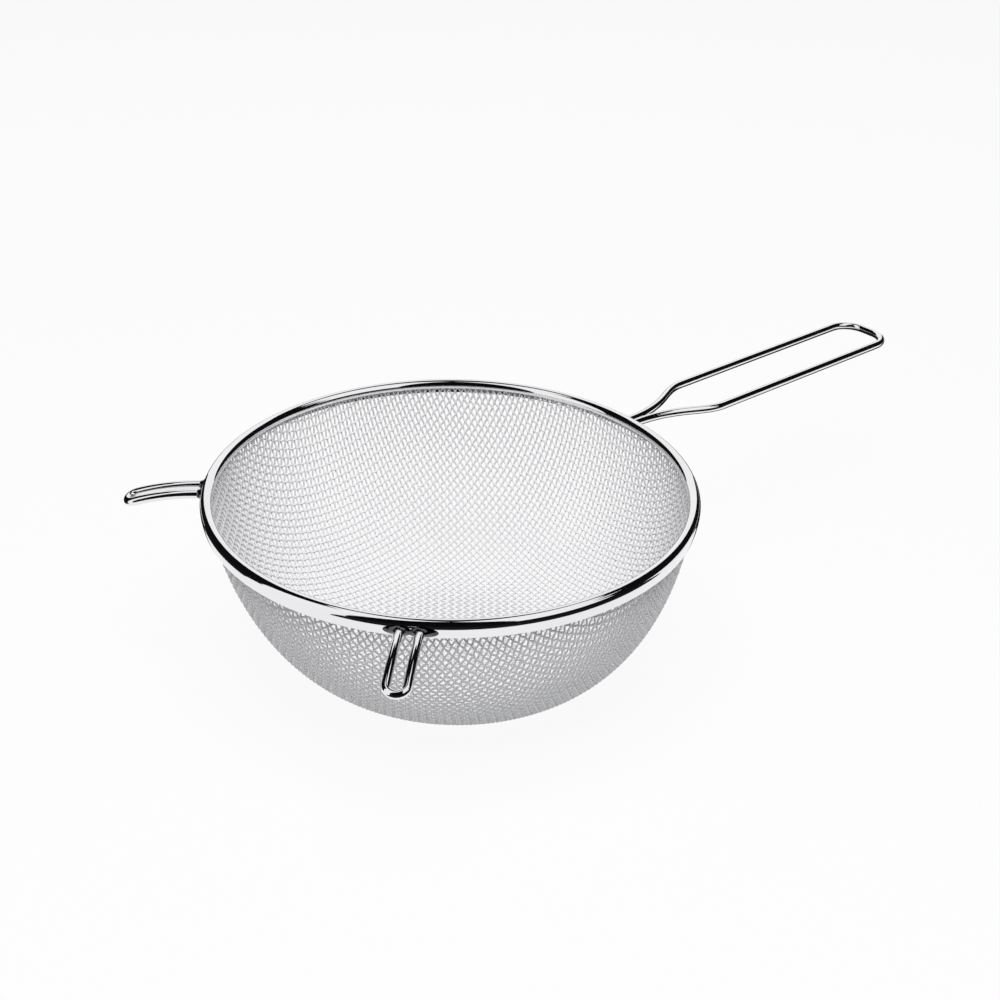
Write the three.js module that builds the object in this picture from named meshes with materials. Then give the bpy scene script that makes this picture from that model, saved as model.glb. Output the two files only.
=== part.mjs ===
// A kitchen strainer: a bowl of woven wire cloth, clamped in a rolled sheet rim over a hoop of wire,
// with a bent wire handle and two wire rest hooks brazed to the outside of the rim.
// Millimetres, +Z up. The origin is on the rim's axis, on the plane that the flat base stands on,
// and +X runs along the handle.

import * as THREE from 'three';

// Rim
const rimRadius = 100; // outside of the rolled rim
const stripThickness = 0.6; // sheet that the rim is rolled from
const skirtDrop = 4.55; // bead's centre to the outer skirt's lower edge
const skirtCurl = 0.8; // how far the skirt's lower edge turns in
const lipDrop = 0.8; // bead's centre to the inner lip's lower edge
const hoopDiameter = 2; // wire inside the bead

// Bowl of wire cloth
const bowlHeight = 82.5; // base to the rim's top
const baseRadius = 25; // flat part of the base
const baseOffset = 4.5; // base's centre from the rim's axis, towards the handle
const clothThickness = 0.8; // two crossing wires
const clothTuck = 0.4; // how far the cloth's edge reaches above the bead's centre
const clothEdge = 7; // plain edge of the cloth, in the rim and just below it
const meshesAcross = 12; // openings across the cloth, far fewer than the weave has
const strandWidth = 3.6; // cloth between two openings
const wallPower = 2.9; // how squarely the wall turns in to the base
const depthPower = 1.53; // how soon the wall leaves the rim's upright

// Wire of the handle and the hooks
const wireDiameter = 3.5;

// Handle loop, along its own middle line
const handleLength = 168; // rim's outside to the wire's outer end
const handleWidth = 27; // between the middles of the two sides
const handleEndRadius = 10.5; // bend at each corner of the outer end
const handleDrop = 4.5; // rim's top to the middle of the legs
const handleSlope = 0.0185; // fall of the handle for each millimetre outwards
const legStraight = 2; // straight stretch of the legs at the rim
const spreadLength = 45; // stretch in which the legs spread to the full width
const spreadStartPull = 26; // how long the legs stay together
const spreadEndPull = 13; // how short the bend to the full width is

// Rest hooks
const hookAngle = 41.9; // each side of the point opposite the handle, in degrees
const hookReach = 33; // rim's outside to the loop's end, along the wire
const hookSlot = 4; // gap between the two legs
const hookDrop = 4.4; // rim's top to the middle of the legs
const hookStraight = 1.8; // level stretch of the legs at the rim
const hookBendRadius = 86; // droop of the loop

// Braze round the legs, at the rim
const brazeLength = 2.2; // along the leg
const brazeWall = 0.15; // at its thin end
const brazeRise = 2.6; // half its height on the rim
const brazeSpread = 7.5; // leg's middle to its end along the rim

// Clearance between neighbouring pieces
const fitGap = 0.3;

// Facets
const roundSteps = 72; // round the rim and the bowl
const beadSteps = 8;
const skirtSteps = 3;
const wallSteps = 60;
const cellSteps = 2; // along each side of a cell of the cloth
const leastStep = 0.5; // between neighbouring points of a cell's outline
const hoopSides = 8;
const wireSides = 8;
const handleSteps = 110;
const hookSteps = 40;
const brazeSides = 24;
const brazeSteps = 4;

// Worked out
const wireRadius = wireDiameter / 2;
const hoopRadius = hoopDiameter / 2;
const rimWidth = 2 * stripThickness + clothThickness + hoopDiameter + 3 * fitGap;
const beadRadius = rimWidth / 2;
const beadX = rimRadius - beadRadius;
const beadZ = bowlHeight - beadRadius;
const hoopX = rimRadius - stripThickness - fitGap - hoopRadius;
const clothX = rimRadius - rimWidth + stripThickness + fitGap + clothThickness / 2;
const wallTop = beadZ - lipDrop;
const legStart = rimRadius + fitGap;
const handleLegHalf = wireRadius + fitGap / 2;
const hookLegHalf = wireRadius + hookSlot / 2;
const brazeBore = wireRadius + fitGap;

// Finishes
const brightSteel = { color: 0xd4d6da, roughness: 0.12, metalness: 1 };
const wovenSteel = { color: 0xc4c6ca, roughness: 0.3, metalness: 1 };
const brazeMetal = { color: 0x9a9b9f, roughness: 0.35, metalness: 1 };

function piece(name, geometry, finish) {
  const mesh = new THREE.Mesh(geometry, new THREE.MeshStandardMaterial(finish));
  mesh.name = name;
  return mesh;
}

// A closed section of [radius, height] points, turned round the Z axis.
function turned(section) {
  const points = section.map(([r, z]) => new THREE.Vector2(r, z));
  return new THREE.LatheGeometry(points, roundSteps).rotateX(Math.PI / 2);
}

// One face of the rolled strip: up the lip, over the bead and down the skirt.
function stripFace(radius) {
  const face = [[beadX - radius, wallTop]];
  for (let i = 0; i <= beadSteps; i++) {
    const angle = Math.PI * (1 - i / beadSteps);
    face.push([beadX + radius * Math.cos(angle), beadZ + radius * Math.sin(angle)]);
  }
  for (let i = 1; i <= skirtSteps; i++) {
    const share = i / skirtSteps;
    face.push([beadX + radius - skirtCurl * share ** 2, beadZ - skirtDrop * share]);
  }
  return face;
}

function rimBand() {
  const outside = stripFace(beadRadius).reverse();
  const inside = stripFace(beadRadius - stripThickness);
  return turned([...inside, ...outside, inside[0]]);
}

function rimHoop() {
  const section = [];
  for (let i = 0; i <= hoopSides; i++) {
    const angle = 2 * Math.PI * (i / hoopSides);
    section.push([hoopX + hoopRadius * Math.cos(angle), beadZ + hoopRadius * Math.sin(angle)]);
  }
  return turned(section);
}

// Middle line of the cloth, from the axis, across the flat base and up the wall to its edge in the rim.
function clothLine() {
  const half = clothThickness / 2;
  const line = [new THREE.Vector2(0, half)];
  for (let i = 0; i <= wallSteps; i++) {
    const angle = (Math.PI / 2) * (1 - i / wallSteps);
    const across = i === 0 ? 0 : Math.cos(angle) ** (2 / wallPower);
    const down = Math.sin(angle) ** (2 / depthPower);
    const r = baseRadius + (clothX - baseRadius) * across;
    line.push(new THREE.Vector2(r, half + (wallTop - half) * (1 - down)));
  }
  line.push(new THREE.Vector2(clothX, beadZ + clothTuck));
  return new THREE.Path(line);
}

function middleOf(points) {
  return points.reduce((sum, point) => sum.add(point), new THREE.Vector2()).divideScalar(points.length);
}

// Points of an outline in their order round a point inside it, with the angle of each.
function roundAbout(centre, points) {
  const turned = points.map((point) => [Math.atan2(point.y - centre.y, point.x - centre.x), point]);
  return turned.sort(([turnA], [turnB]) => turnA - turnB);
}

// Half a chord of a circle, at a distance from its middle.
function halfChord(radius, distance) {
  return Math.sqrt(Math.max(radius ** 2 - distance ** 2, 0));
}

// Points round the part of a rectangle that lies in a disc about the origin.
// The rectangle is in the first quarter of the plane.
function clippedOutline(left, right, low, high, radius) {
  const spots = [];
  for (let i = 0; i <= cellSteps; i++) {
    const x = THREE.MathUtils.lerp(left, right, i / cellSteps);
    const y = THREE.MathUtils.lerp(low, high, i / cellSteps);
    spots.push([x, low], [x, high]);
    if (i > 0 && i < cellSteps) spots.push([left, y], [right, y]);
  }
  const inDisc = spots.filter(([x, y]) => Math.hypot(x, y) < radius - leastStep);
  const crosses = (place, from, to) => place > from + leastStep && place < to + leastStep;
  const levelEnds = [low, high].map((y) => [halfChord(radius, y), y]);
  const uprightEnds = [left, right].map((x) => [x, halfChord(radius, x)]);
  const onSides = [
    ...levelEnds.filter(([x]) => crosses(x, left, right)),
    ...uprightEnds.filter(([, y]) => crosses(y, low, high)),
  ];
  const onArc = [];
  for (let i = 0; i <= roundSteps / 4; i++) {
    const turn = 2 * Math.PI * (i / roundSteps);
    const x = radius * Math.cos(turn);
    const y = radius * Math.sin(turn);
    if (Math.min(x - left, right - x, y - low, high - y) > leastStep) onArc.push([x, y]);
  }
  const points = [...inDisc, ...onSides, ...onArc].map(([x, y]) => new THREE.Vector2(x, y));
  return roundAbout(middleOf(points), points).map(([, point]) => point);
}

// Triangles between an outline and another inside it, or a single point inside it.
function fillBetween(outline, inner) {
  const centre = middleOf(inner);
  const outside = roundAbout(centre, outline);
  const inside = roundAbout(centre, inner);
  const at = (ring, i) => ring[i % ring.length][1];
  const turnAt = (ring, i) => ring[i % ring.length][0] + 2 * Math.PI * Math.floor(i / ring.length);
  const lastInside = inside.length > 1 ? inside.length : 0;
  const triangles = [];
  let i = 0;
  let j = 0;
  while (i < outside.length || j < lastInside) {
    const outsideIsNext = i < outside.length && turnAt(outside, i + 1) <= turnAt(inside, j + 1);
    if (j === lastInside || outsideIsNext) {
      triangles.push([at(outside, i), at(outside, i + 1), at(inside, j)]);
      i += 1;
    } else {
      triangles.push([at(inside, j + 1), at(inside, j), at(outside, i)]);
      j += 1;
    }
  }
  return triangles;
}

// The cells in one quarter of the flat cloth, each with its opening. The plain edge cuts off the outer
// openings, and a cell with no room for one gets its middle point instead.
function quarterCells(flatRadius) {
  const pitch = (2 * flatRadius) / meshesAcross;
  const openRadius = flatRadius - clothEdge;
  const inset = strandWidth / 2;
  const cells = [];
  for (let row = 0; row < meshesAcross / 2; row++) {
    for (let column = 0; column < meshesAcross / 2; column++) {
      const [left, low] = [column * pitch, row * pitch];
      const [right, high] = [(column + 1) * pitch, (row + 1) * pitch];
      if (Math.hypot(left, low) > flatRadius - leastStep) continue;
      const outline = clippedOutline(left, right, low, high, flatRadius);
      const roomX = halfChord(openRadius, low + inset) - left - inset;
      const roomY = halfChord(openRadius, left + inset) - low - inset;
      const opening = Math.min(roomX, roomY) > strandWidth
        ? clippedOutline(left + inset, right - inset, low + inset, high - inset, openRadius)
        : [middleOf(outline)];
      cells.push({ outline, opening });
    }
  }
  return cells;
}

// Where a point of the flat cloth lies on the bowl, at a distance inwards from the cloth's middle.
function pressed(line, point, inward) {
  const reach = point.length();
  const share = Math.min(reach / line.getLength(), 1);
  const middle = line.getPoint(share);
  const along = line.getTangent(share);
  const spread = reach > 0 ? (middle.x - inward * along.y) / reach : 0;
  const z = middle.y + inward * along.x;
  const lean = baseOffset * (Math.max(wallTop - z, 0) / wallTop);
  return [point.x * spread + lean, point.y * spread, z];
}

// The cloth, made cell by cell as it lies flat, and pressed into the bowl's shape.
function meshBowl() {
  const line = clothLine();
  const flatRadius = line.getLength();
  const half = clothThickness / 2;
  const sides = (ring) => ring.map((point, i) => [point, ring[(i + 1) % ring.length]]);
  const positions = [];
  for (const { outline, opening } of quarterCells(flatRadius)) {
    const isEdge = ([a, b]) => Math.min(a.length(), b.length()) > flatRadius - leastStep / 2;
    const edges = sides(outline).filter(isEdge).map(([a, b]) => [b, a]);
    const walls = opening.length > 1 ? [...edges, ...sides(opening)] : edges;
    const corners = [];
    for (const [a, b, c] of fillBetween(outline, opening)) {
      corners.push([a, half], [b, half], [c, half], [a, -half], [c, -half], [b, -half]);
    }
    for (const [a, b] of walls) {
      corners.push([a, half], [b, half], [b, -half], [a, half], [b, -half], [a, -half]);
    }
    for (const [flipX, flipY] of [[1, 1], [-1, 1], [-1, -1], [1, -1]]) {
      const flip = new THREE.Vector2(flipX, flipY);
      const ordered = flipX === flipY ? corners : [...corners].reverse();
      for (const [point, inward] of ordered) {
        positions.push(...pressed(line, point.clone().multiply(flip), inward));
      }
    }
  }
  const geometry = new THREE.BufferGeometry();
  geometry.setAttribute('position', new THREE.Float32BufferAttribute(positions, 3));
  geometry.computeVertexNormals();
  return geometry;
}

// A bent wire, drawn flat as a 2-D path and set in space point by point.
class WirePath extends THREE.Curve {
  constructor(plan, place) {
    super();
    this.plan = plan;
    this.place = place;
    this.arcLengthDivisions = 800;
  }

  getPoint(share, target = new THREE.Vector3()) {
    return this.place(this.plan.getPoint(share), target);
  }
}

function wire(path, steps) {
  const section = new THREE.Shape().absarc(0, 0, wireRadius, 0, 2 * Math.PI);
  return new THREE.ExtrudeGeometry(section, {
    steps,
    curveSegments: wireSides / 2,
    bevelEnabled: false,
    extrudePath: path,
  });
}

function handleZ(x) {
  return bowlHeight - handleDrop - handleSlope * (x - rimRadius);
}

function handleLoop() {
  const half = handleWidth / 2;
  const spreadStart = legStart + legStraight;
  const spreadEnd = spreadStart + spreadLength;
  const cornerX = rimRadius + handleLength - wireRadius - handleEndRadius;
  const cornerY = half - handleEndRadius;
  const plan = new THREE.Path();
  plan.moveTo(legStart, -handleLegHalf);
  plan.lineTo(spreadStart, -handleLegHalf);
  plan.bezierCurveTo(
    spreadStart + spreadStartPull, -handleLegHalf, spreadEnd - spreadEndPull, -half, spreadEnd, -half,
  );
  plan.lineTo(cornerX, -half);
  plan.absarc(cornerX, -cornerY, handleEndRadius, -Math.PI / 2, 0);
  plan.lineTo(cornerX + handleEndRadius, cornerY);
  plan.absarc(cornerX, cornerY, handleEndRadius, 0, Math.PI / 2);
  plan.lineTo(spreadEnd, half);
  plan.bezierCurveTo(
    spreadEnd - spreadEndPull, half, spreadStart + spreadStartPull, handleLegHalf, spreadStart, handleLegHalf,
  );
  plan.lineTo(legStart, handleLegHalf);
  const place = (point, target) => target.set(point.x, point.y, handleZ(point.x));
  return wire(new WirePath(plan, place), handleSteps);
}

// A rest hook, drawn along +X: level at the rim, then drooping on an arc.
function restHook() {
  const legEnd = hookReach - wireRadius - hookLegHalf;
  const plan = new THREE.Path();
  plan.moveTo(fitGap, -hookLegHalf);
  plan.lineTo(legEnd, -hookLegHalf);
  plan.absarc(legEnd, 0, hookLegHalf, -Math.PI / 2, Math.PI / 2);
  plan.lineTo(fitGap, hookLegHalf);
  const place = (point, target) => {
    const level = Math.min(point.x, hookStraight);
    const turn = (point.x - level) / hookBendRadius;
    return target.set(
      rimRadius + level + hookBendRadius * Math.sin(turn),
      point.y,
      bowlHeight - hookDrop - hookBendRadius * (1 - Math.cos(turn)),
    );
  };
  return wire(new WirePath(plan, place), hookSteps);
}

// A concave collar of braze, drawn out along the rim, round one leg or round two that lie side by side.
// Its reach along the rim can differ on its two sides.
function brazeCollar(place, legHalf, reachLeft, reachRight) {
  const count = brazeSteps + 3;
  const positions = [];
  const indices = [];
  for (let i = 0; i < brazeSides; i++) {
    const angle = 2 * Math.PI * ((i + 0.5) / brazeSides);
    const across = Math.cos(angle);
    const upward = Math.sin(angle);
    const reach = across > 0 ? reachRight : reachLeft;
    const foot = 1 / Math.hypot(across / reach, upward / brazeRise);
    const section = [[brazeBore, 0]];
    for (let j = 0; j <= brazeSteps; j++) {
      const turn = (Math.PI / 2) * (j / brazeSteps);
      const radius = foot - (foot - brazeBore - brazeWall) * Math.sin(turn);
      section.push([radius, brazeLength * (1 - Math.cos(turn))]);
    }
    section.push([brazeBore, brazeLength]);
    section.forEach(([radius, along], j) => {
      const y = place + legHalf * Math.sign(across) + radius * across;
      const fall = rimRadius - Math.sqrt(rimRadius ** 2 - y ** 2);
      positions.push(along - fall, y, radius * upward);
      const here = i * count + j;
      const up = i * count + (j + 1) % count;
      const round = ((i + 1) % brazeSides) * count;
      indices.push(here, round + j, up, up, round + j, round + (j + 1) % count);
    });
  }
  const geometry = new THREE.BufferGeometry();
  geometry.setAttribute('position', new THREE.Float32BufferAttribute(positions, 3));
  geometry.setIndex(indices);
  geometry.computeVertexNormals();
  return geometry;
}

const strainer = new THREE.Group();
strainer.name = 'strainer';
strainer.add(piece('rim_band', rimBand(), brightSteel));
strainer.add(piece('rim_hoop', rimHoop(), brightSteel));
strainer.add(piece('mesh_bowl', meshBowl(), wovenSteel));
strainer.add(piece('handle_loop', handleLoop(), brightSteel));

const handleCollar = brazeCollar(0, handleLegHalf, brazeSpread, brazeSpread);
const handleBraze = piece('handle_braze', handleCollar, brazeMetal);
handleBraze.position.set(legStart, 0, handleZ(legStart));
strainer.add(handleBraze);

for (const [side, turn] of [['left', 180 + hookAngle], ['right', 180 - hookAngle]]) {
  const hook = new THREE.Group();
  hook.rotation.z = THREE.MathUtils.degToRad(turn);
  hook.add(piece(`rest_hook_${side}`, restHook(), brightSteel));
  const legCollars = {
    a: brazeCollar(-hookLegHalf, 0, brazeSpread, hookLegHalf - fitGap / 2),
    b: brazeCollar(hookLegHalf, 0, hookLegHalf - fitGap / 2, brazeSpread),
  };
  for (const [leg, collar] of Object.entries(legCollars)) {
    const braze = piece(`hook_${side}_braze_${leg}`, collar, brazeMetal);
    braze.position.set(legStart, 0, bowlHeight - hookDrop);
    hook.add(braze);
  }
  strainer.add(hook);
}

export default strainer;
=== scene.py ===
import math

import bpy
import numpy as np
from mathutils import Matrix, Vector


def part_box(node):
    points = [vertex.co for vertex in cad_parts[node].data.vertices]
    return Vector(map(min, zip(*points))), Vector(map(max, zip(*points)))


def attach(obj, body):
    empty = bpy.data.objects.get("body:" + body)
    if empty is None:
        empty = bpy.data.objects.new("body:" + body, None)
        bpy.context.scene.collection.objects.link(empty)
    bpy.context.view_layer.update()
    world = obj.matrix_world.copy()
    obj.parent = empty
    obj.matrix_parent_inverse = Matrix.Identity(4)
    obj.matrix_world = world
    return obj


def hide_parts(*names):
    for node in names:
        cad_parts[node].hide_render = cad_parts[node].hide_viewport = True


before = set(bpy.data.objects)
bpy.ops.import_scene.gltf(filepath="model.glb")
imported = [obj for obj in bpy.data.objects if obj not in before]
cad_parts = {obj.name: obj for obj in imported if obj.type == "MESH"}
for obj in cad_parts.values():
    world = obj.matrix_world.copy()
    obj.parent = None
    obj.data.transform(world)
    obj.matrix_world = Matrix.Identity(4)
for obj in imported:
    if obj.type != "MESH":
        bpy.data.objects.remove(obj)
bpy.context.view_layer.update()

mm = 0.001

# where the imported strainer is
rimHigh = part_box("rim_band")[1]
handleLow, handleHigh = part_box("handle_loop")
rimRadius = rimHigh.x
rimTop = rimHigh.z


# meshes

def addMesh(name, verts, faces, smooth=True):
    mesh = bpy.data.meshes.new(name)
    mesh.from_pydata(verts.tolist(), [], faces)
    mesh.polygons.foreach_set("use_smooth", [smooth] * len(mesh.polygons))
    mesh.update()
    piece = bpy.data.objects.new(name, mesh)
    bpy.context.scene.collection.objects.link(piece)
    return piece


def gridFaces(rows, cols, closeRows, closeCols):
    # quads over a grid of points, row after row
    faces = []
    for row in range(rows if closeRows else rows - 1):
        here = row * cols
        there = (row + 1) % rows * cols
        for col in range(cols if closeCols else cols - 1):
            beside = (col + 1) % cols
            faces.append((here + col, there + col, there + beside, here + beside))
    return faces


def spinSection(name, section, segments):
    # a closed section of (radius, height) points, turned round the Z axis
    section = np.array(section)
    turn = np.linspace(0, 2 * math.pi, segments, endpoint=False)
    verts = np.empty((segments, len(section), 3))
    verts[:, :, 0] = np.cos(turn)[:, None] * section[:, 0]
    verts[:, :, 1] = np.sin(turn)[:, None] * section[:, 0]
    verts[:, :, 2] = section[:, 1]
    return addMesh(name, verts.reshape(-1, 3), gridFaces(segments, len(section), True, True))


def unit(vectors):
    return vectors / np.linalg.norm(vectors, axis=-1, keepdims=True)


def tubeRings(points, out, radius, sides):
    # rings of points round a line; out is a direction at each point, roughly square to the line
    along = unit(np.gradient(points, axis=0))
    side = unit(np.cross(along, out))
    up = np.cross(side, along)
    angle = np.linspace(0, 2 * math.pi, sides, endpoint=False)
    ring = np.cos(angle)[:, None, None] * side + np.sin(angle)[:, None, None] * up
    return (points + radius * ring).transpose(1, 0, 2)


def sweepWire(name, points, out, radius, sides):
    rings = tubeRings(points, out, radius, sides)
    count = len(points)
    faces = gridFaces(count, sides, False, True)
    faces.append(tuple(range(sides)))
    faces.append(tuple(range(count * sides - 1, (count - 1) * sides - 1, -1)))
    return addMesh(name, rings.reshape(-1, 3), faces)


def lineTo(start, end, step):
    start, end = np.array(start), np.array(end)
    count = max(2, round(math.dist(start, end) / step))
    return [tuple(start + (end - start) * i / count) for i in range(count)]


def bezierTo(start, pullA, pullB, end, count):
    share = np.arange(count)[:, None] / count
    a, b, c, d = (np.array(p) for p in (start, pullA, pullB, end))
    rest = 1 - share
    curve = a * rest ** 3 + 3 * b * share * rest ** 2 + 3 * c * share ** 2 * rest + d * share ** 3
    return [tuple(p) for p in curve]


def arcTo(centre, radius, start, end, count):
    angles = [start + (end - start) * i / count for i in range(count)]
    return [(centre[0] + radius * math.cos(a), centre[1] + radius * math.sin(a)) for a in angles]


# materials

def node(tree, kind, **values):
    made = tree.nodes.new(kind)
    for key, value in values.items():
        setattr(made, key, value)
    return made


def setInputs(target, **values):
    for key, value in values.items():
        target.inputs[key.replace("_", " ")].default_value = value


def newGroup(name, inputs, outputs):
    group = bpy.data.node_groups.new(name, "ShaderNodeTree")
    for label, kind, value in inputs:
        socket = group.interface.new_socket(label, in_out="INPUT", socket_type=kind)
        socket.default_value = value
    for label, kind in outputs:
        group.interface.new_socket(label, in_out="OUTPUT", socket_type=kind)
    return group, group.nodes.new("NodeGroupInput"), group.nodes.new("NodeGroupOutput")


def platingGroup():
    # soft clouds in the plating, with fine polishing marks
    group, put, out = newGroup(
        "platingVariation",
        [
            ("Cloud Scale", "NodeSocketFloat", 30.0),
            ("Mark Scale", "NodeSocketFloat", 900.0),
            ("Dark Tint", "NodeSocketColor", (0.7, 0.7, 0.72, 1)),
            ("Light Tint", "NodeSocketColor", (0.9, 0.9, 0.9, 1)),
            ("Low Roughness", "NodeSocketFloat", 0.05),
            ("High Roughness", "NodeSocketFloat", 0.15),
        ],
        [
            ("Color", "NodeSocketColor"),
            ("Roughness", "NodeSocketFloat"),
            ("Height", "NodeSocketFloat"),
        ],
    )
    place = node(group, "ShaderNodeTexCoord")
    cloud = node(group, "ShaderNodeTexNoise")
    setInputs(cloud, Detail=4.0, Roughness=0.55)
    marks = node(group, "ShaderNodeTexNoise")
    setInputs(marks, Detail=2.0, Roughness=0.7)
    tint = node(group, "ShaderNodeMix", data_type="RGBA")
    rough = node(group, "ShaderNodeMapRange")
    blend = node(group, "ShaderNodeMath", operation="MULTIPLY")
    link = group.links.new
    link(place.outputs["Object"], cloud.inputs["Vector"])
    link(place.outputs["Object"], marks.inputs["Vector"])
    link(put.outputs["Cloud Scale"], cloud.inputs["Scale"])
    link(put.outputs["Mark Scale"], marks.inputs["Scale"])
    link(cloud.outputs["Fac"], tint.inputs["Factor"])
    link(put.outputs["Dark Tint"], tint.inputs["A"])
    link(put.outputs["Light Tint"], tint.inputs["B"])
    link(cloud.outputs["Fac"], blend.inputs[0])
    link(marks.outputs["Fac"], blend.inputs[1])
    link(blend.outputs["Value"], rough.inputs["Value"])
    link(put.outputs["Low Roughness"], rough.inputs["To Min"])
    link(put.outputs["High Roughness"], rough.inputs["To Max"])
    setInputs(rough, From_Min=0.1, From_Max=0.45)
    link(tint.outputs["Result"], out.inputs["Color"])
    link(rough.outputs["Result"], out.inputs["Roughness"])
    link(marks.outputs["Fac"], out.inputs["Height"])
    return group


def metalMaterial(name, group, look):
    material = bpy.data.materials.new(name)
    material.use_nodes = True
    tree = material.node_tree
    shader = tree.nodes["Principled BSDF"]
    setInputs(shader, Metallic=look["metallic"])
    vary = node(tree, "ShaderNodeGroup", node_tree=group)
    setInputs(
        vary,
        Cloud_Scale=look["cloudScale"],
        Mark_Scale=look["markScale"],
        Dark_Tint=(*look["darkTint"], 1),
        Light_Tint=(*look["lightTint"], 1),
        Low_Roughness=look["lowRoughness"],
        High_Roughness=look["highRoughness"],
    )
    bump = node(tree, "ShaderNodeBump")
    setInputs(bump, Strength=look["bumpStrength"], Distance=look["bumpDepth"])
    tree.links.new(vary.outputs["Color"], shader.inputs["Base Color"])
    tree.links.new(vary.outputs["Roughness"], shader.inputs["Roughness"])
    tree.links.new(vary.outputs["Height"], bump.inputs["Height"])
    tree.links.new(bump.outputs["Normal"], shader.inputs["Normal"])
    return material


plating = dict(  # polished plating on the rim, handle and hooks
    metallic=1.0,
    cloudScale=26.0,
    markScale=1400.0,
    darkTint=(0.78, 0.78, 0.80),
    lightTint=(0.90, 0.90, 0.91),
    lowRoughness=0.03,
    highRoughness=0.09,
    bumpStrength=0.04,
    bumpDepth=0.02 * mm,
)
wovenWire = dict(  # drawn wire of the cloth
    metallic=0.1,
    cloudScale=40.0,
    markScale=2500.0,
    darkTint=(0.88, 0.88, 0.90),
    lightTint=(0.96, 0.96, 0.97),
    lowRoughness=0.2,
    highRoughness=0.34,
    bumpStrength=0.1,
    bumpDepth=0.02 * mm,
)
brazeWithPaintedShade = dict(  # braze at the feet of the wires, tinted near black: partly the braze's own dark colour, partly painted shade and painted reflection round the feet
    metallic=1.0,
    cloudScale=160.0,
    markScale=900.0,
    darkTint=(0.04, 0.04, 0.042),
    lightTint=(0.14, 0.14, 0.145),
    lowRoughness=0.06,
    highRoughness=0.2,
    bumpStrength=0.15,
    bumpDepth=0.08 * mm,
)
metalGroup = platingGroup()
brightSteel = metalMaterial("brightSteel", metalGroup, plating)
clothSteel = metalMaterial("clothSteel", metalGroup, wovenWire)
# the braze's near-black tint is partly painted shade and painted reflection round the feet of the
# wires
brazeShadeSteel = metalMaterial("brazeShadeSteel", metalGroup, brazeWithPaintedShade)
print("materials ready")


def keep(piece, material, slot, *nodes):
    # dress a piece, seat it on the part and let it stand for its solids
    piece.data.materials.append(material)
    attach(piece, "root")
    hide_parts(*nodes)


# rim

rim = dict(
    beadWidth=4.9 * mm,
    sheet=0.6 * mm,
    skirtDrop=4.55 * mm,  # bead's middle to the skirt's lower edge
    skirtCurl=0.8 * mm,
    lipDrop=0.8 * mm,  # bead's middle to the lip's lower edge
    hoopDiameter=2.0 * mm,
    fitGap=0.3 * mm,
    edgeWidth=0.2 * mm,  # rounding of the strip's edges
    edgeSteps=2,
    edgeAngle=50,
    segments=360,
    beadSteps=24,
    skirtSteps=10,
    hoopSides=16,
)
beadRadius = rim["beadWidth"] / 2
beadX = rimRadius - beadRadius
beadZ = rimTop - beadRadius
wallTop = beadZ - rim["lipDrop"]


def skirtRadius(share, radius):
    return beadX + radius - rim["skirtCurl"] * share ** 2


def stripFace(radius):
    face = [(beadX - radius, wallTop)]
    for i in range(rim["beadSteps"] + 1):
        angle = math.pi * (1 - i / rim["beadSteps"])
        face.append((beadX + radius * math.cos(angle), beadZ + radius * math.sin(angle)))
    for i in range(1, rim["skirtSteps"] + 1):
        share = i / rim["skirtSteps"]
        face.append((skirtRadius(share, radius), beadZ - rim["skirtDrop"] * share))
    return face


def makeRim():
    outside = stripFace(beadRadius)[::-1]
    inside = stripFace(beadRadius - rim["sheet"])
    band = spinSection("rolled_rim", inside + outside, rim["segments"])
    bevel = band.modifiers.new("edges", "BEVEL")
    bevel.width = rim["edgeWidth"]
    bevel.segments = rim["edgeSteps"]
    bevel.angle_limit = math.radians(rim["edgeAngle"])
    keep(band, brightSteel, "bright_steel", "rim_band")
    hoopRadius = rim["hoopDiameter"] / 2
    hoopX = rimRadius - rim["sheet"] - rim["fitGap"] - hoopRadius
    turn = np.linspace(0, 2 * math.pi, rim["hoopSides"], endpoint=False)
    section = np.stack([hoopX + hoopRadius * np.cos(turn), beadZ + hoopRadius * np.sin(turn)], 1)
    hoop = spinSection("rim_wire", section, rim["segments"])
    keep(hoop, brightSteel, "bright_steel", "rim_hoop")


makeRim()
print("rim ready")


# wire cloth

cloth = dict(
    rowPitch=2.6 * mm,  # between the wires that run along the handle's direction
    columnPitch=2.3 * mm,  # between the wires that cross them
    wireDiameter=0.8 * mm,
    pinch=0.7,  # how much of its thickness is left in the rim
    pinchHeight=3 * mm,  # below the rim's lip, over which it gets thinner
    sides=6,
    stepsPerMesh=4,
    leastSteps=8,
    edgeMargin=0.2,  # least distance from the blank's edge, in pitches
    seat=1.3 * mm,  # rim's inside to the middle of the cloth
    baseRadius=25 * mm,
    baseOffset=4.5 * mm,  # base's middle from the rim's axis, towards the handle
    wallPower=2.9,
    depthPower=1.53,
    tuck=0.4 * mm,  # how far the edge goes up past the bead's middle
    stretch=11 * mm,  # how much longer the drawn wall is than the flat cloth it came from
    stretchRadius=108 * mm,  # flat radius at which that stretch is reached
    stretchPower=4.1,
    profileSteps=600,
    shapeSteps=4000,
    bands=3,  # pieces that each family of wires is split into
)
tiny = 1e-9  # keeps the middle of the cloth from dividing by zero
clothX = rimRadius - rim["beadWidth"] + cloth["seat"]
clothTop = beadZ + cloth["tuck"]


def clothProfile():
    # middle line of the cloth in (radius, height), from the axis out to its edge in the rim
    low = cloth["wireDiameter"]  # the cloth is two wires thick
    angle = np.linspace(math.pi / 2, 0, cloth["profileSteps"])
    across = np.maximum(np.cos(angle), 0) ** (2 / cloth["wallPower"])
    down = np.sin(angle) ** (2 / cloth["depthPower"])
    r = cloth["baseRadius"] + (clothX - cloth["baseRadius"]) * across
    z = low + (wallTop - low) * (1 - down)
    return np.concatenate([[[0, low]], np.stack([r, z], 1), [[clothX, clothTop]]])


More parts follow.
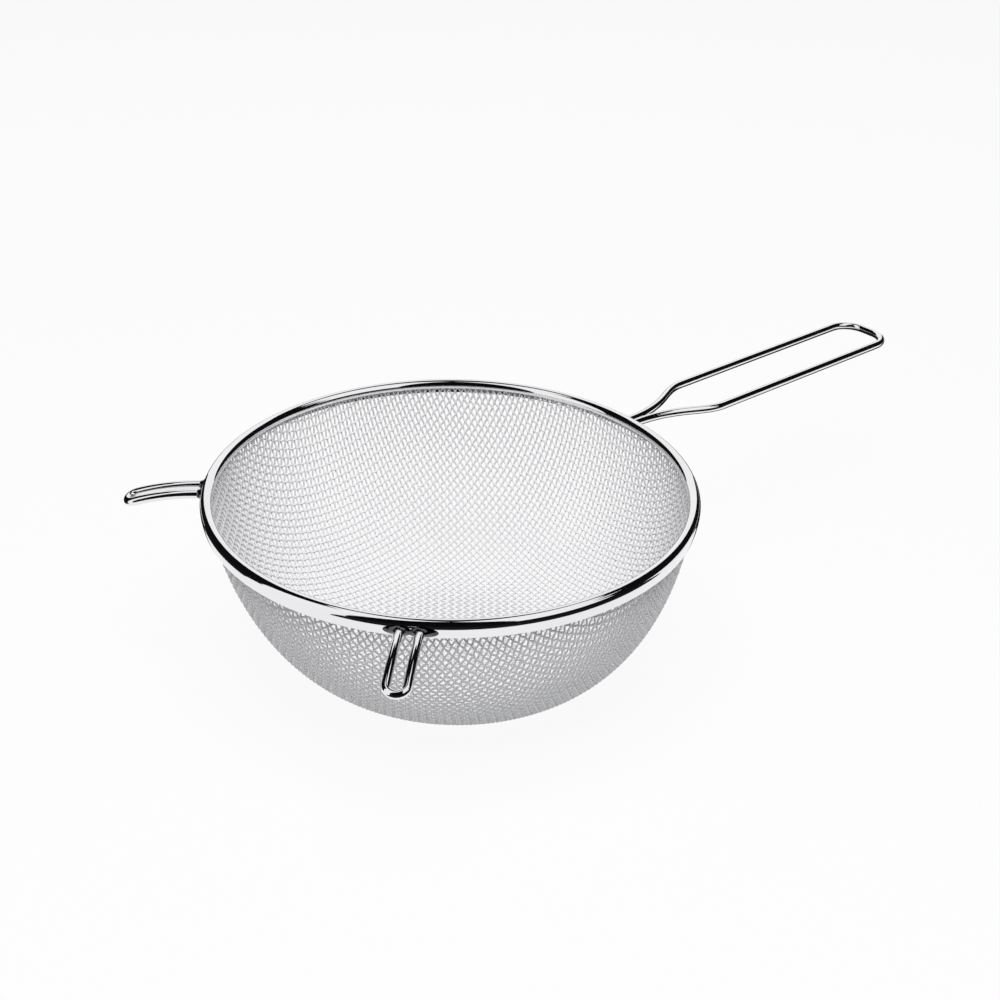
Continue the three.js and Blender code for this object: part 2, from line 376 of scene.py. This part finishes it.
def drawnShape():
    # for each radius on the flat blank, the radius, height and outward direction on the bowl
    profile = clothProfile()
    steps = np.diff(profile, axis=0)
    lengths = np.concatenate([[0], np.cumsum(np.hypot(steps[:, 0], steps[:, 1]))])
    flat = np.linspace(0, lengths[-1], cloth["shapeSteps"])
    drawn = flat + cloth["stretch"] * (flat / cloth["stretchRadius"]) ** cloth["stretchPower"]
    edge = np.interp(lengths[-1], drawn, flat)
    slope = np.gradient(profile, axis=0)
    slope /= np.hypot(slope[:, 0], slope[:, 1])[:, None]
    table = np.column_stack([profile, slope[:, 1], -slope[:, 0]])
    return edge, flat, np.column_stack([np.interp(drawn, lengths, column) for column in table.T])


def drawWire(x, y, lift, shape):
    # a wire of the flat blank, pressed into the bowl; lift is how far it weaves off the middle
    flat, table = shape[1:]
    reach = np.maximum(np.hypot(x, y), tiny)
    r, z, outR, outZ = (np.interp(reach, flat, column) for column in table.T)
    cosine, sine = x / reach, y / reach
    out = np.stack([outR * cosine, outR * sine, outZ], 1)
    clamped = np.clip(1 - (wallTop - z) / cloth["pinchHeight"], 0, 1)
    size = 1 - (1 - cloth["pinch"]) * clamped
    points = np.stack([r * cosine, r * sine, z], 1) + (lift * size)[:, None] * out
    depth = np.clip((wallTop - z) / wallTop, 0, None)
    points[:, 0] += cloth["baseOffset"] * depth
    return points, out, size


def weaveFamily(pitch, crossPitch, shape, alongX):
    # parallel wires, one pitch apart, that go over and under the wires across them
    edge = shape[0]
    count = int(edge / pitch)
    wires = []
    for k in range(-count, count + 1):
        aside = k * pitch
        if abs(aside) > edge - cloth["edgeMargin"] * pitch:
            continue
        half = math.sqrt(edge ** 2 - aside ** 2)
        steps = max(cloth["leastSteps"], int(2 * half / crossPitch * cloth["stepsPerMesh"]))
        along = np.linspace(-half, half, steps + 1)
        over = 1 if (k % 2 == 0) == alongX else -1
        lift = over * cloth["wireDiameter"] / 2 * np.cos(math.pi * along / crossPitch)
        level = np.full_like(along, aside)
        x, y = (along, level) if alongX else (level, along)
        wires.append(drawWire(x, y, lift, shape))
    return wires


def wireMesh(name, wires):
    sides = cloth["sides"]
    verts, quads, caps, start = [], [], [], 0
    for points, out, size in wires:
        rings = tubeRings(points, out, cloth["wireDiameter"] / 2 * size[:, None], sides)
        count = len(points)
        verts.append(rings.reshape(-1, 3))
        base = start + np.arange(count - 1)[:, None] * sides
        col = np.arange(sides)[None, :]
        beside = (col + 1) % sides
        ring = [base + col, base + sides + col, base + sides + beside, base + beside]
        quads.append(np.stack(ring, 2).reshape(-1, 4))
        caps.append(start + np.arange(sides))
        caps.append(start + count * sides - 1 - np.arange(sides))
        start += count * sides
    faces = np.concatenate(quads).tolist() + np.array(caps).tolist()
    return addMesh(name, np.concatenate(verts), faces)


def makeCloth():
    shape = drawnShape()
    families = {
        "rows": weaveFamily(cloth["rowPitch"], cloth["columnPitch"], shape, True),
        "columns": weaveFamily(cloth["columnPitch"], cloth["rowPitch"], shape, False),
    }
    for family, wires in families.items():
        lengths = np.cumsum([len(points) for points, out, size in wires])
        band = (lengths - 1) * cloth["bands"] // lengths[-1]
        for k in range(cloth["bands"]):
            part = [wire for wire, place in zip(wires, band) if place == k]
            piece = wireMesh(f"cloth_{family}_{k + 1}", part)
            keep(piece, clothSteel, "woven_steel", "mesh_bowl")
            print("cloth", family, k + 1, "has", len(part), "wires")


makeCloth()


# handle and hooks

wire = dict(
    diameter=3.5 * mm,
    sides=24,
    step=1.0 * mm,
    longStep=4.0 * mm,
    sink=0.25 * mm,  # how far its ends go into the rim
)
wireRadius = wire["diameter"] / 2
upward = np.array([0.0, 0.0, 1.0])

handle = dict(
    endRadius=10.5 * mm,
    legHalf=1.78 * mm,  # middle of each leg from the handle's middle line, at the rim
    drop=4.5 * mm,  # rim's top to the middle of the legs
    slope=0.0185,
    legStraight=2.3 * mm,
    spreadLength=45 * mm,
    spreadStartPull=26 * mm,
    spreadEndPull=13 * mm,
    spreadSteps=56,
    bendSteps=28,
)


def handleZ(x):
    return rimTop - handle["drop"] - handle["slope"] * (x - rimRadius)


def halfHandle():
    # one leg, from the rim to the middle of the outer end
    half = (handleHigh.y - handleLow.y) / 2 - wireRadius
    leg = handle["legHalf"]
    start = rimRadius - wire["sink"]
    spread = rimRadius + handle["legStraight"]
    spreadEnd = spread + handle["spreadLength"]
    endX = handleHigh.x - wireRadius
    cornerX = endX - handle["endRadius"]
    cornerY = half - handle["endRadius"]
    plan = lineTo((start, leg), (spread, leg), wire["step"])
    pullA = (spread + handle["spreadStartPull"], leg)
    pullB = (spreadEnd - handle["spreadEndPull"], half)
    plan += bezierTo((spread, leg), pullA, pullB, (spreadEnd, half), handle["spreadSteps"])
    plan += lineTo((spreadEnd, half), (cornerX, half), wire["longStep"])
    plan += arcTo((cornerX, cornerY), handle["endRadius"], math.pi / 2, 0, handle["bendSteps"])
    plan += lineTo((endX, cornerY), (endX, 0), wire["step"])
    return plan


def makeHandle():
    plan = np.array(halfHandle())
    mirror = plan[::-1] * (1, -1)
    middle = np.array([[plan[-1, 0], 0.0]])
    plan = np.concatenate([plan, middle, mirror])
    points = np.column_stack([plan, [handleZ(x) for x in plan[:, 0]]])
    loop = sweepWire("handle_wire", points, upward, wireRadius, wire["sides"])
    keep(loop, brightSteel, "bright_steel", "handle_loop")


hook = dict(
    angle=41.9,  # each side of the point opposite the handle
    reach=33 * mm,
    legHalf=3.75 * mm,
    drop=4.4 * mm,  # rim's top to the middle of the legs
    straight=1.8 * mm,
    bendRadius=86 * mm,  # of the droop
    endSteps=32,
)


def hookFrame(turn):
    return Matrix.Rotation(math.radians(turn), 4, "Z")


def makeHook(name, turn, solid):
    leg = hook["legHalf"]
    legEnd = hook["reach"] - wireRadius - leg
    plan = lineTo((-wire["sink"], -leg), (legEnd, -leg), wire["step"])
    plan += arcTo((legEnd, 0), leg, -math.pi / 2, math.pi / 2, hook["endSteps"])
    plan += lineTo((legEnd, leg), (-wire["sink"], leg), wire["step"])
    plan = np.array(plan + [(-wire["sink"], leg)])
    level = np.minimum(plan[:, 0], hook["straight"])
    droop = (plan[:, 0] - level) / hook["bendRadius"]
    points = np.column_stack([
        rimRadius + level + hook["bendRadius"] * np.sin(droop),
        plan[:, 1],
        rimTop - hook["drop"] - hook["bendRadius"] * (1 - np.cos(droop)),
    ])
    piece = sweepWire(name, points, upward, wireRadius, wire["sides"])
    piece.data.transform(hookFrame(turn))
    keep(piece, brightSteel, "bright_steel", solid)


makeHandle()
hookTurns = {"left": 180 + hook["angle"], "right": 180 - hook["angle"]}
for side, turn in hookTurns.items():
    makeHook(f"hook_wire_{side}", turn, f"rest_hook_{side}")
print("handle and hooks ready")


# braze at the feet of the wires

braze = dict(
    rise=2.6 * mm,  # half its height on the rim
    spread=7.5 * mm,  # leg's middle to its end along the rim
    inward=5.3 * mm,  # the same towards the hook's other leg
    length=2.4 * mm,
    skin=0.04 * mm,  # how far its ends dip into rim and wire
    coreDepth=0.16 * mm,  # the same for its hidden back
    beadShare=0.98,  # of the bead's radius, the highest that it fits to
    sides=64,
    steps=14,
    unevenness=0.08,
    handleSeed=0.7,
    waves=((0.6, 2, 1.0), (0.4, 3, 2.1)),  # share of it, waves round, how far the seed turns them
)


def rimFace(y, z):
    # distance out to the rim's outside at a height, along +X
    share = np.clip((beadZ - z) / rim["skirtDrop"], 0, 1)
    rise = np.clip(z - beadZ, 0, beadRadius * braze["beadShare"])
    bead = beadX + np.sqrt(beadRadius ** 2 - rise ** 2)
    r = np.where(z > beadZ, bead, skirtRadius(share, beadRadius))
    return np.sqrt(r ** 2 - y ** 2)


def brazeCollar(name, place, legHalf, height, reachLeft, reachRight, seed):
    # a concave fillet round one leg, or two side by side, that runs out along the rim's curve
    turn = np.linspace(0, 2 * math.pi, braze["sides"], endpoint=False) + math.pi / braze["sides"]
    across, above = np.cos(turn), np.sin(turn)
    waves = braze["waves"]
    wave = sum(share * np.sin(count * turn + shift * seed) for share, count, shift in waves)
    reach = np.where(across > 0, reachRight, reachLeft)
    foot = (1 + braze["unevenness"] * wave) / np.hypot(across / reach, above / braze["rise"])
    centre = place + legHalf * np.sign(across)
    bore = wireRadius - braze["skin"]
    lowest = beadZ - rim["skirtDrop"]
    rows = []
    for i in range(braze["steps"] + 1):
        angle = math.pi / 2 * i / braze["steps"]
        radius = foot - (foot - bore) * math.sin(angle)
        y = centre + radius * across
        z = np.maximum(height + radius * above, lowest)
        along = braze["length"] * (1 - math.cos(angle)) - braze["skin"]
        rows.append(np.stack([rimFace(y, z) + along, y, z], 1))
    core = bore - braze["coreDepth"]
    y = centre + core * across
    z = height + core * above
    rows.append(np.stack([rows[-1][:, 0], y, z], 1))
    rows.append(np.stack([rimFace(y, z) - braze["coreDepth"], y, z], 1))
    return addMesh(name, np.concatenate(rows), gridFaces(len(rows), braze["sides"], True, True))


def makeBraze():
    spread, inward = braze["spread"], braze["inward"]
    height, seed = handleZ(rimRadius), braze["handleSeed"]
    piece = brazeCollar("braze_handle", 0, handle["legHalf"], height, spread, spread, seed)
    keep(piece, brazeShadeSteel, "braze", "handle_braze")
    leg, height = hook["legHalf"], rimTop - hook["drop"]
    for side, turn in hookTurns.items():
        legs = {"a": (-leg, spread, inward), "b": (leg, inward, spread)}
        for name, (place, reachLeft, reachRight) in legs.items():
            seed = turn + place / mm
            title = f"braze_{side}_{name}"
            piece = brazeCollar(title, place, 0, height, reachLeft, reachRight, seed)
            piece.data.transform(hookFrame(turn))
            keep(piece, brazeShadeSteel, "braze", f"hook_{side}_braze_{name}")


makeBraze()
print("braze ready")


# floor, light and camera

studio = dict(
    floorSize=8.0,
    floorColor=(0.8, 0.8, 0.8),
    bounceColor=(0.36, 0.36, 0.365),  # of the floor's light on the strainer
    floorGlow=0.9,  # how far the floor shows as plain white
    skyStrength=0.25,  # of its light, not of how white it looks
    panelPower=27.0,
    panelSize=1.2,
    panelRise=72,  # degrees above the rim, on the camera's side
    panelDistance=1.6,
    cardColor=(0.01, 0.01, 0.012),
    cardRadius=1.3,
    cardSteps=(49, 25),  # points round and up
    cardLift=1 * mm,  # of the strips off the floor
)
# dark cards that show only in reflections, in degrees round from the camera's side and up
cards = {
    "card_front": ((-42, 28), (-3.4, 90)),
    "card_front_low": ((28, 74), (-3.4, 26)),
    "card_near_right": ((74, 95), (-3.4, 45)),
    "card_right": ((95, 150), (-3.4, 57)),
    "card_left": ((-150, -82), (-3.4, 64)),
    "card_back_high": ((150, 210), (49, 90)),
}
# dark strips on the floor, in degrees round and metres out
floorCards = {
    "card_low_back": ((118, 242), (0.13, 0.9)),
    "card_low_front": ((-42, 85), (0.205, 1.6)),
    "card_low_left": ((-150, -82), (0.205, 1.6)),
}
view = dict(
    turn=-39.8,  # camera's azimuth from the handle's own side view
    elevation=29.14,
    distance=0.7,
    lens=62.72,
    pan=-0.02799,  # the rim stands left of the picture's middle
    tilt=-0.0085,
    roll=-0.00273,
    sensor=36,
)


def cameraAxes():
    turn = math.radians(view["turn"])
    rise = math.radians(view["elevation"])
    across = Vector((math.cos(turn), math.sin(turn), 0))
    ahead = Vector((-math.sin(turn), math.cos(turn), 0))
    back = -ahead * math.cos(rise) + Vector((0, 0, math.sin(rise)))
    return across, ahead, back


def makeCamera():
    across, back = cameraAxes()[::2]
    stand = Matrix((across, back.cross(across), back)).transposed()
    stand = stand @ Matrix.Rotation(view["pan"], 3, "Y")
    stand = stand @ Matrix.Rotation(view["tilt"], 3, "X")
    stand = stand @ Matrix.Rotation(-view["roll"], 3, "Z")
    lens = bpy.data.cameras.new("photoView")
    lens.lens = view["lens"]
    lens.sensor_width = view["sensor"]
    eye = bpy.data.objects.new("photoView", lens)
    bpy.context.scene.collection.objects.link(eye)
    place = Vector((0, 0, rimTop)) + back * view["distance"]
    eye.matrix_world = Matrix.Translation(place) @ stand.to_4x4()
    bpy.context.scene.camera = eye


def seenRange(tree, unseen, seen):
    # one value for rays that see it straight, in metal or through glass, and another for its light
    rays = node(tree, "ShaderNodeLightPath")
    straight = node(tree, "ShaderNodeMath", operation="ADD")
    total = node(tree, "ShaderNodeMath", operation="ADD")
    value = node(tree, "ShaderNodeMapRange")
    setInputs(value, To_Min=unseen, To_Max=seen)
    link = tree.links.new
    link(rays.outputs["Is Camera Ray"], straight.inputs[0])
    link(rays.outputs["Is Glossy Ray"], straight.inputs[1])
    link(straight.outputs["Value"], total.inputs[0])
    link(rays.outputs["Is Transmission Ray"], total.inputs[1])
    link(total.outputs["Value"], value.inputs["Value"])
    return value.outputs["Result"]


def floorMaterial():
    material = bpy.data.materials.new("paleFloor")
    material.use_nodes = True
    tree = material.node_tree
    shader = tree.nodes["Principled BSDF"]
    setInputs(shader, Roughness=0.9, Specular_IOR_Level=0.0)
    color = node(tree, "ShaderNodeMix", data_type="RGBA")
    setInputs(color, A=(*studio["bounceColor"], 1), B=(*studio["floorColor"], 1))
    white = node(tree, "ShaderNodeEmission")
    setInputs(white, Color=(1.0, 1.0, 1.0, 1), Strength=1.0)
    share = seenRange(tree, 0.0, studio["floorGlow"])
    blend = node(tree, "ShaderNodeMixShader")
    link = tree.links.new
    link(seenRange(tree, 0.0, 1.0), color.inputs["Factor"])
    link(color.outputs["Result"], shader.inputs["Base Color"])
    link(share, blend.inputs["Fac"])
    link(shader.outputs["BSDF"], blend.inputs[1])
    link(white.outputs["Emission"], blend.inputs[2])
    link(blend.outputs["Shader"], tree.nodes["Material Output"].inputs["Surface"])
    material.cycles.emission_sampling = "NONE"
    return material


def makeFloor():
    half = studio["floorSize"] / 2
    corners = np.array([(-half, -half, 0), (half, -half, 0), (half, half, 0), (-half, half, 0)])
    floor = addMesh("floor", corners, [(0, 1, 2, 3)], smooth=False)
    floor.data.materials.append(floorMaterial())


def cardPatch(name, turns, spans, place):
    # a curved patch of card, from a range of turns round the strainer and a range of spans
    turnCount, spanCount = studio["cardSteps"]
    turnSteps = np.radians(np.linspace(*turns, turnCount))
    spanSteps = np.linspace(*spans, spanCount)
    across, ahead = cameraAxes()[:2]
    verts = []
    for turn in turnSteps:
        way = np.array(-ahead * math.cos(turn) + across * math.sin(turn))
        verts += [place(way, span) for span in spanSteps]
    card = addMesh(name, np.array(verts), gridFaces(len(turnSteps), len(spanSteps), False, False))
    card.visible_camera = False
    card.visible_diffuse = False
    card.visible_shadow = False
    card.visible_transmission = False
    card.data.materials.append(bpy.data.materials["darkCard"])


def onDome(way, rise):
    level = way * math.cos(math.radians(rise)) + upward * math.sin(math.radians(rise))
    return upward * rimTop + level * studio["cardRadius"]


def onFloor(way, distance):
    return way * distance + upward * studio["cardLift"]


def makeCards():
    material = bpy.data.materials.new("darkCard")
    material.use_nodes = True
    setInputs(
        material.node_tree.nodes["Principled BSDF"],
        Base_Color=(*studio["cardColor"], 1),
        Roughness=1.0,
        Specular_IOR_Level=0.0,
    )
    for name, (turns, rises) in cards.items():
        cardPatch(name, turns, rises, onDome)
    for name, (turns, radii) in floorCards.items():
        cardPatch(name, turns, radii, onFloor)


def makeLight():
    world = bpy.data.worlds.new("softRoom")
    bpy.context.scene.world = world
    world.use_nodes = True
    sky = world.node_tree.nodes["Background"]
    setInputs(sky, Color=(1.0, 1.0, 1.0, 1))
    strength = seenRange(world.node_tree, studio["skyStrength"], 1.0)
    world.node_tree.links.new(strength, sky.inputs["Strength"])
    ahead = cameraAxes()[1]
    rise = math.radians(studio["panelRise"])
    way = -ahead * math.cos(rise) + Vector((0, 0, math.sin(rise)))
    panel = bpy.data.lights.new("softPanel", "AREA")
    panel.energy = studio["panelPower"]
    panel.size = studio["panelSize"]
    lit = bpy.data.objects.new("softPanel", panel)
    bpy.context.scene.collection.objects.link(lit)
    lit.visible_glossy = False
    lit.location = Vector((0, 0, rimTop)) + way * studio["panelDistance"]
    lit.rotation_euler = (-way).to_track_quat("-Z", "Y").to_euler()


makeCamera()
makeFloor()
makeCards()
makeLight()
bpy.context.scene.view_settings.view_transform = "Standard"
print("camera, floor and light ready")
